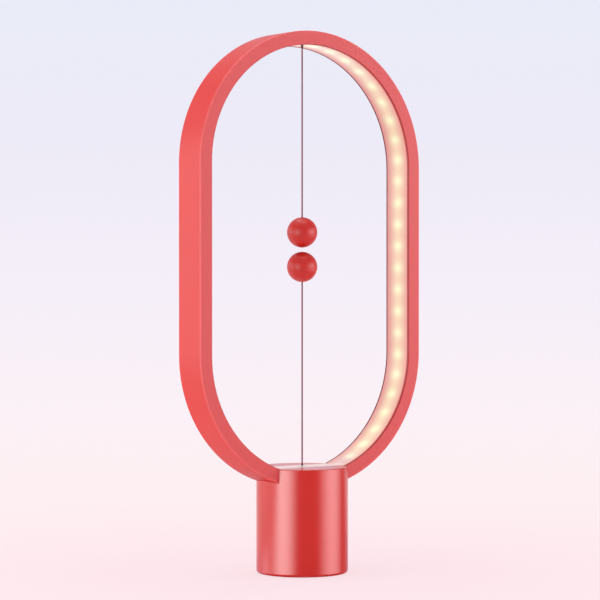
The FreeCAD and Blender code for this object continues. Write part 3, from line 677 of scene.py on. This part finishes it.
def make_drawn_metal():
    """Skin of drawn, ground or plated metal: streaks along one axis in gloss and height."""
    group, given, out = new_group(
        "ShaderNodeTree",
        "drawn_metal",
        {
            "Color": ("NodeSocketColor", (0.6, 0.6, 0.6, 1.0)),
            "Shade Spread": ("NodeSocketFloat", 0.12),
            "Roughness": ("NodeSocketFloat", 0.3),
            "Roughness Spread": ("NodeSocketFloat", 0.2),
            "Streak Scale": ("NodeSocketVector", drawn_streaks),
            "Streak Height": ("NodeSocketFloat", 0.000004),
        },
        {"Color": "NodeSocketColor", "Roughness": "NodeSocketFloat", "Normal": "NodeSocketVector"},
    )
    streak = streaks_along(group, given["Streak Scale"])
    swing = calculate(group, "SUBTRACT", streak, 0.5)
    shade = calculate(group, "MULTIPLY_ADD", swing, given["Shade Spread"], 1.0)
    rough = calculate(group, "MULTIPLY_ADD", swing, given["Roughness Spread"], given["Roughness"])
    group.links.new(scaled(group, given["Color"], shade), out.inputs["Color"])
    group.links.new(rough, out.inputs["Roughness"])
    group.links.new(bump(group, streak, given["Streak Height"]), out.inputs["Normal"])
    return group


drawn_metal = make_drawn_metal()


def metal(name, color, roughness, streaks):
    """A bare or plated metal with streaks along the axis that has the smallest scale."""
    made, tree, shader = new_material(name, Metallic=1.0)
    values = {"Color": color, "Roughness": roughness, "Streak Scale": streaks}
    connect(tree, shader, use_group(tree, drawn_metal, values))
    return made


base_plastic = moulding("red_base_plastic", base_red, base_gloss, constants={"IOR": base_index})
plate_plastic = moulding("red_plate_plastic", plate_red, plate_gloss, constants={"IOR": base_index})
dress(base_plastic, "base_sleeve", "bottom_cover")
dress(plate_plastic, "base_top_plate")
screw_steel = metal(
    "zinc_plated_steel", (0.60, 0.61, 0.62, 1.0), roughness=0.32, streaks=(900.0, 900.0, 900.0)
)
dress(screw_steel, "frame_screws", "cover_screws", "board_screws", "ballast_screw")


# ---- Foot and ballast -----------------------------------------------------------------------
# A black rubber pad glued under the bottom cover, and a cast iron disc screwed down above it.
# The disc keeps the dark, rough skin of the casting.

foot_rubber = moulding(
    "foot_rubber", (0.025, 0.025, 0.025, 1.0), roughness=0.8, Grain_Scale=900.0, Grain_Height=0.00006
)
ballast_iron = moulding(
    "ballast_iron",
    (0.09, 0.09, 0.095, 1.0),
    roughness=0.62,
    constants={"Metallic": 0.6},
    Shade_Spread=0.5,
    Cloud_Scale=400.0,
    Grain_Scale=1200.0,
    Grain_Height=0.00008,
)
dress(foot_rubber, "foot_pad")
dress(ballast_iron, "ballast_weight")


# ---- Circuit board --------------------------------------------------------------------------
# A round green board on three bosses, with the driver chip, the choke, the capacitor and four
# resistors soldered to its top. Copper tracks show as paler lines under the solder mask.

board_green = (0.012, 0.16, 0.06, 1.0)
track_green = (0.03, 0.26, 0.10, 1.0)
track_cell = 0.0024
track_share = 0.12
track_fade = 0.04


def board_material():
    """Green solder mask with the paler tracks of a printed circuit under it."""
    made, tree, shader = new_material("circuit_board", Specular_IOR_Level=0.6)
    cells = add_node(
        tree,
        "ShaderNodeTexVoronoi",
        {"Vector": object_place(tree), "Scale": 1 / track_cell, "Randomness": 0.35},
        distance="CHEBYCHEV",
        feature="DISTANCE_TO_EDGE",
    ).outputs["Distance"]
    limits = {"Value": cells, "From Min": track_share + track_fade, "From Max": track_share}
    track = add_node(tree, "ShaderNodeMapRange", limits).outputs[0]
    color = blend(tree, track, board_green, track_green)
    connect(tree, shader, use_group(tree, moulded_skin, {"Color": color, "Roughness": 0.28}))
    return made


black_plastic = moulding(
    "black_plastic", (0.02, 0.02, 0.02, 1.0), roughness=0.45, Grain_Height=0.00002
)
ferrite = moulding(
    "ferrite", (0.06, 0.06, 0.065, 1.0), roughness=0.6, Shade_Spread=0.3, Cloud_Scale=700.0
)
resistor = moulding("resistor_ceramic", (0.03, 0.03, 0.035, 1.0), roughness=0.35, Cloud_Scale=800.0)
capacitor_can = metal(
    "capacitor_can", (0.8, 0.8, 0.82, 1.0), roughness=0.28, streaks=(4000.0, 4000.0, 90.0)
)
dress(board_material(), "main_board")
dress(black_plastic, "driver_chip", "usb_socket_tongue", "switch_case")
dress(ferrite, "power_inductor")
dress(resistor, "chip_resistors")
dress(capacitor_can, "smoothing_capacitor")


# ---- Inlet socket and microswitch -----------------------------------------------------------
# The stamped steel shell of the inlet, and a microswitch in a black case with a steel lever, a
# white plunger and three tinned brass pins. The pull rod above it works the lever.

stamped_steel = metal(
    "stamped_steel", (0.68, 0.68, 0.7, 1.0), roughness=0.3, streaks=(2500.0, 150.0, 2500.0)
)
pin_brass = metal("tinned_brass", (0.72, 0.62, 0.38, 1.0), roughness=0.3, streaks=drawn_streaks)
white_plastic = moulding("white_plastic", (0.78, 0.77, 0.73, 1.0), roughness=0.4)
dress(stamped_steel, "usb_socket_shell", "switch_lever")
dress(pin_brass, "switch_pins")
dress(white_plastic, "switch_button")


# ---- Pull rod -------------------------------------------------------------------------------
# A ground steel rod in a white guide, which the lower thread lifts, the clip that stops its
# fall, and the coil spring of drawn wire that pushes it down when the balls part.

rod_steel = metal(
    "ground_steel", (0.55, 0.55, 0.57, 1.0), roughness=0.25, streaks=(400.0, 400.0, 6000.0)
)
spring_steel = metal(
    "spring_wire", (0.42, 0.42, 0.44, 1.0), roughness=0.34, streaks=(1500.0, 1500.0, 1500.0)
)
dress(rod_steel, "pull_rod", "rod_clip")
dress(white_plastic, "slider_guide")
dress(spring_steel, "return_spring")


# ---- Threads --------------------------------------------------------------------------------
# Two dark red twisted threads of three plies, taut between a small metal bead and the knot in
# a ball. The upper one hangs from an eyelet in the frame; the lower one rises from the rod.

thread_red = (0.26, 0.07, 0.11)
thread_diameter = 0.00125
thread_plies = 3
turn_length = 4 * thread_diameter
points_per_turn = 12.0
fibre_scale = (9000.0, 9000.0, 1800.0)
fibre_height = 0.00004
fibre_relief = 0.8
darkest_fibre = 0.75
fibre_shade_spread = 0.6
smoothest_fibre = 0.6
fibre_gloss_spread = 0.2


def thread_material():
    """Fibres of a twisted thread: fine shades along it and a soft sheen."""
    made, tree, shader = new_material(
        "twisted_thread", Sheen_Weight=0.3, Sheen_Roughness=0.5, Specular_IOR_Level=0.3
    )
    fibre = streaks_along(tree, fibre_scale)
    shade = calculate(tree, "MULTIPLY_ADD", fibre, fibre_shade_spread, darkest_fibre)
    rough = calculate(tree, "MULTIPLY_ADD", fibre, fibre_gloss_spread, smoothest_fibre)
    tree.links.new(scaled(tree, thread_red, shade), shader.inputs["Base Color"])
    tree.links.new(rough, shader.inputs["Roughness"])
    tree.links.new(bump(tree, fibre, fibre_height, fibre_relief), shader.inputs["Normal"])
    return made


def twist_tree(material):
    """Plies that wind round a line, each touching the two others."""
    group, given, out = new_group(
        "GeometryNodeTree",
        "twisted_plies",
        {
            "Route": ("NodeSocketGeometry", None),
            "Plies": ("NodeSocketInt", thread_plies),
            "Turn Length": ("NodeSocketFloat", turn_length),
            "Thread Diameter": ("NodeSocketFloat", thread_diameter),
        },
        {"Thread": "NodeSocketGeometry"},
    )
    route = add_node(group, "GeometryNodeMeshToCurve", {"Mesh": given["Route"]}).outputs[0]
    step = calculate(group, "DIVIDE", given["Turn Length"], points_per_turn)
    fine = add_node(group, "GeometryNodeResampleCurve", {"Curve": route, "Length": step}, mode="LENGTH")
    copies = add_node(
        group,
        "GeometryNodeDuplicateElements",
        {"Geometry": fine.outputs[0], "Amount": given["Plies"]},
        domain="SPLINE",
    )
    lead = calculate(group, "DIVIDE", copies.outputs["Duplicate Index"], given["Plies"])
    along = add_node(group, "GeometryNodeSplineParameter").outputs["Length"]
    turns = calculate(group, "ADD", calculate(group, "DIVIDE", along, given["Turn Length"]), lead)
    turn = calculate(group, "MULTIPLY", turns, 2 * math.pi)
    centre_share = 2 / math.sqrt(3)
    ply_radius = calculate(group, "DIVIDE", given["Thread Diameter"], 2 * (1 + centre_share))
    centre = calculate(group, "MULTIPLY", ply_radius, centre_share)
    normal = add_node(group, "GeometryNodeInputNormal").outputs[0]
    tangent = add_node(group, "GeometryNodeInputTangent").outputs[0]
    around = add_node(
        group,
        "ShaderNodeVectorRotate",
        {"Vector": normal, "Axis": tangent, "Angle": turn},
        rotation_type="AXIS_ANGLE",
    ).outputs[0]
    moved = {"Geometry": copies.outputs[0], "Offset": scaled(group, around, centre)}
    wound = add_node(group, "GeometryNodeSetPosition", moved).outputs[0]
    section = add_node(
        group, "GeometryNodeCurvePrimitiveCircle", {"Resolution": 8, "Radius": ply_radius}
    ).outputs[0]
    plies = add_node(
        group,
        "GeometryNodeCurveToMesh",
        {"Curve": wound, "Profile Curve": section, "Fill Caps": True},
    ).outputs[0]
    smooth = add_node(group, "GeometryNodeSetShadeSmooth", {0: plies}).outputs[0]
    whole = add_node(group, "GeometryNodeRealizeInstances", {0: smooth}).outputs[0]
    dressed = add_node(
        group, "GeometryNodeSetMaterial", {"Geometry": whole, "Material": material}
    ).outputs[0]
    group.links.new(dressed, out.inputs["Thread"])
    return group


def thread_route(name, bottom, top):
    """The thread's straight way between two heights, as a line of points."""
    curve = bpy.data.curves.new(name, "CURVE")
    curve.dimensions = "3D"
    spline = curve.splines.new("NURBS")
    points = [(0.0, 0.0, bottom), (0.0, 0.0, (bottom + top) / 2), (0.0, 0.0, top)]
    spline.points.add(len(points) - 1)
    for place, point in zip(spline.points, points):
        place.co = (*point, 1.0)
    spline.order_u = 3
    spline.use_endpoint_u = True
    holder = add_object(name, curve)
    made = add_object(name + "_line", bpy.data.meshes.new_from_object(holder))
    clear_away(holder)
    return made


fibres = thread_material()
twisted_plies = twist_tree(fibres)


def twisted_thread(name, node, body):
    """The thread in place of its CAD node, riding with its ball."""
    low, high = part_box(node)
    route = thread_route(name + "_route", low.z, high.z)
    values = {
        "Plies": thread_plies,
        "Turn Length": turn_length,
        "Thread Diameter": thread_diameter,
    }
    piece = grow(route, twisted_plies, name, values)
    clear_away(route)
    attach(piece, body)
    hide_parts(node)


twisted_thread("upper_thread", "upper_cord", "upper_ball")
twisted_thread("lower_thread", "lower_cord", "lower_ball")
dress(fibres, "upper_thread_anchor", "upper_ball_knot", "lower_ball_knot")
dark_metal = metal(
    "dark_plated_brass", (0.16, 0.05, 0.06, 1.0), roughness=0.36, streaks=(1500.0, 1500.0, 1500.0)
)
dress(dark_metal, "upper_eyelet", "upper_bead", "lower_bead")
dress(white_plastic, "lower_eyelet")


# ---- Balls ----------------------------------------------------------------------------------
# Hollow red balls in two halves that plug together at the middle. A nickel-plated magnet sits
# in the half that faces the other ball, and the thread's knot in the half that faces away.

ball_red = (0.60, 0.012, 0.006, 1.0)
ball_gloss = 0.42
ball_plastic = moulding("red_ball_plastic", ball_red, ball_gloss, constants={"IOR": frame_index})
magnet_nickel = metal(
    "nickel_plating", (0.72, 0.70, 0.66, 1.0), roughness=0.2, streaks=(1200.0, 1200.0, 1200.0)
)
for side in ("upper", "lower"):
    dress(ball_plastic, side + "_ball_thread_half", side + "_ball_magnet_half")
    dress(magnet_nickel, side + "_ball_magnet")


# ---- Studio ---------------------------------------------------------------------------------
# A wide pale floor that runs into a pale surround, four softboxes that fade to their sides
# (left, right, behind and above the lamp) and the camera.

floor_radius = 60.0
floor_drop = 0.0002
floor_decades = 1.8
near_pink = (1.0, 0.815, 0.855, 1.0)
mid_pink = (1.0, 0.870, 0.890, 1.0)
pale_pink = (0.960, 0.880, 0.930, 1.0)
far_lilac = (0.913, 0.860, 0.945, 1.0)
low_lilac = (0.850, 0.830, 0.930, 1.0)
sky_lilac = (0.820, 0.838, 0.940, 1.0)
fill_behind = 0.58
fill_in_front = 0.56
fill_from = -0.8
fill_to = 0.3
front_of_studio = 0.18
front_until = -0.25
back_from = 0.9
top_of_studio = 0.5
sides_until = 0.35
top_from = 0.65
shadow_share = 0.18
shadow_reach = 1.2
mirror_until = 0.06
mirror_end = 0.16
cool_white = (0.79, 1.0, 0.97)


def seen_directly(tree):
    """1 for what the camera sees, directly, in a reflection or through something clear."""
    ray = add_node(tree, "ShaderNodeLightPath").outputs
    seen = calculate(tree, "MAXIMUM", ray["Is Camera Ray"], ray["Is Glossy Ray"])
    return calculate(tree, "MAXIMUM", seen, ray["Is Transmission Ray"])


def ramp(tree, value, stops):
    """A colour that changes with a value through stops of (value, colour)."""
    made = add_node(tree, "ShaderNodeValToRGB", {"Fac": value})
    stripes = made.color_ramp.elements
    while len(stripes) < len(stops):
        stripes.new(1.0)
    for stripe, (position, color) in zip(stripes, stops):
        stripe.position = position
        stripe.color = color
    return made.outputs["Color"]


def floor_material():
    """Pale floor, pinker near the lamp, that keeps its soft shadow and mirrors in front of it."""
    made = bpy.data.materials.new("studio_floor")
    made.use_nodes = True
    tree = made.node_tree
    tree.nodes.remove(tree.nodes["Principled BSDF"])
    away = add_node(tree, "ShaderNodeVectorMath", {0: object_place(tree)}, operation="LENGTH")
    away = away.outputs["Value"]
    decades = calculate(tree, "LOGARITHM", calculate(tree, "ADD", away, 1.0), 10.0)
    spread = calculate(tree, "DIVIDE", decades, floor_decades)
    stops = [(0.03, near_pink), (0.11, mid_pink), (0.30, pale_pink), (0.75, far_lilac)]
    color = ramp(tree, spread, stops)
    lit = add_node(tree, "ShaderNodeBsdfDiffuse", {"Color": color}).outputs[0]
    plain = add_node(tree, "ShaderNodeEmission", {"Color": color}).outputs[0]
    near = smooth_range(tree, away, 0.0, shadow_reach, shadow_share, 0.0)
    shown = add_node(tree, "ShaderNodeMixShader", {0: near, 1: plain, 2: lit}).outputs[0]
    seen = add_node(tree, "ShaderNodeMixShader", {0: seen_directly(tree), 1: lit, 2: shown}).outputs[0]
    polish = add_node(tree, "ShaderNodeBsdfGlossy", {"Color": color, "Roughness": 0.0}).outputs[0]
    depth = split(tree, object_place(tree))["Y"]
    in_front = smooth_range(tree, depth, mirror_end, mirror_until)
    reflected = add_node(tree, "ShaderNodeLightPath").outputs["Is Glossy Ray"]
    mirror = calculate(tree, "MULTIPLY", reflected, in_front)
    whole = add_node(tree, "ShaderNodeMixShader", {0: mirror, 1: seen, 2: polish})
    tree.links.new(whole.outputs[0], tree.nodes["Material Output"].inputs["Surface"])
    return made


def make_floor():
    """A disc that reaches as good as to the horizon."""
    shape = bmesh.new()
    bmesh.ops.create_circle(shape, cap_ends=True, segments=256, radius=floor_radius)
    bmesh.ops.translate(shape, vec=(0.0, 0.0, -floor_drop), verts=shape.verts)
    mesh = bpy.data.meshes.new("studio_floor")
    shape.to_mesh(mesh)
    shape.free()
    mesh.materials.append(floor_material())
    floor = add_object("studio_floor", mesh)


def make_surround():
    """The surround: an even light, and the pale background that is seen and mirrored.

    Mirrored, it is darker in front of the lamp and overhead than behind it.
    """
    world = bpy.data.worlds.new("surround")
    world.use_nodes = True
    tree = world.node_tree
    bpy.context.scene.world = world
    direction = split(tree, add_node(tree, "ShaderNodeTexCoord").outputs["Generated"])
    depth = direction["Y"]
    rise = direction["Z"]
    color = ramp(tree, rise, [(0.0, far_lilac), (0.06, low_lilac), (0.12, sky_lilac)])
    by_depth = smooth_range(tree, depth, front_until, back_from, front_of_studio, 1.0)
    by_rise = smooth_range(tree, rise, sides_until, top_from, 1.0, top_of_studio)
    reflected = calculate(tree, "MULTIPLY", by_depth, by_rise)
    ray = add_node(tree, "ShaderNodeLightPath").outputs
    shown = calculate(tree, "MAXIMUM", reflected, ray["Is Camera Ray"])
    seen = seen_directly(tree)
    fill = smooth_range(tree, depth, fill_from, fill_to, fill_in_front, fill_behind)
    unseen = calculate(tree, "MULTIPLY", calculate(tree, "SUBTRACT", 1.0, seen), fill)
    strength = calculate(tree, "MULTIPLY_ADD", shown, seen, unseen)
    tree.links.new(color, tree.nodes["Background"].inputs["Color"])
    tree.links.new(strength, tree.nodes["Background"].inputs["Strength"])


def around_lamp(turn, distance, height):
    """A point round the lamp; the turn starts at the front and goes to the right."""
    angle = math.radians(turn)
    return Vector((distance * math.sin(angle), -distance * math.cos(angle), height))


def fade_sides(light):
    """Lets a light fade from its upright middle line to its two sides."""
    light.use_nodes = True
    tree = light.node_tree
    place = add_node(tree, "ShaderNodeNewGeometry").outputs["Parametric"]
    across = split(tree, place)["X"]
    off_middle = calculate(tree, "ABSOLUTE", calculate(tree, "SUBTRACT", across, 0.5))
    fade = smooth_range(tree, off_middle, 0.5, 0.0)
    tree.links.new(fade, tree.nodes["Emission"].inputs["Strength"])


def softbox(name, turn, distance, width, height, brightness, color=(1.0, 1.0, 1.0), raised=None):
    """A rectangle of soft light: it stands upright on the floor and faces the lamp, or hangs."""
    light = bpy.data.lights.new(name, "AREA")
    light.shape = "RECTANGLE"
    light.size = width
    light.size_y = height
    light.energy = brightness * math.pi * width * height
    light.color = color
    holder = add_object(name, light)
    holder.location = around_lamp(turn, distance, height / 2 if raised is None else raised)
    facing = -around_lamp(turn, distance, 0.0) if raised is None else Vector((0.0, 0.0, -1.0))
    holder.rotation_euler = facing.to_track_quat("-Z", "Y").to_euler()
    holder.visible_camera = False
    fade_sides(light)


def make_camera():
    """The camera: a long lens, a little left of the front."""
    turn = -35.074
    distance = 1.6843
    height = 0.2168
    aim_left = 0.054
    aim_down = 0.498
    camera = add_object("camera", bpy.data.cameras.new("camera"))
    camera.data.sensor_width = 36.0
    camera.data.lens = 136.2
    camera.data.clip_start = 0.05
    camera.data.clip_end = 200.0
    camera.location = around_lamp(turn, distance, height)
    level = -around_lamp(turn + aim_left, 1.0, 0.0)
    direction = level + Vector((0.0, 0.0, -math.tan(math.radians(aim_down))))
    camera.rotation_euler = direction.to_track_quat("-Z", "Y").to_euler()
    bpy.context.scene.camera = camera


make_floor()
make_surround()
softbox(
    "left_softbox", turn=-83.0, distance=2.5, width=4.2, height=0.72, brightness=7.2, color=cool_white
)
softbox("right_softbox", turn=43.0, distance=2.5, width=4.4, height=1.0, brightness=4.5)
softbox("rear_softbox", turn=-135.0, distance=2.5, width=3.0, height=0.9, brightness=1.7)
softbox("top_softbox", turn=180.0, distance=0.2, width=1.4, height=1.4, brightness=3.0, raised=1.5)
make_camera()
bpy.context.scene.view_settings.view_transform = "Standard"
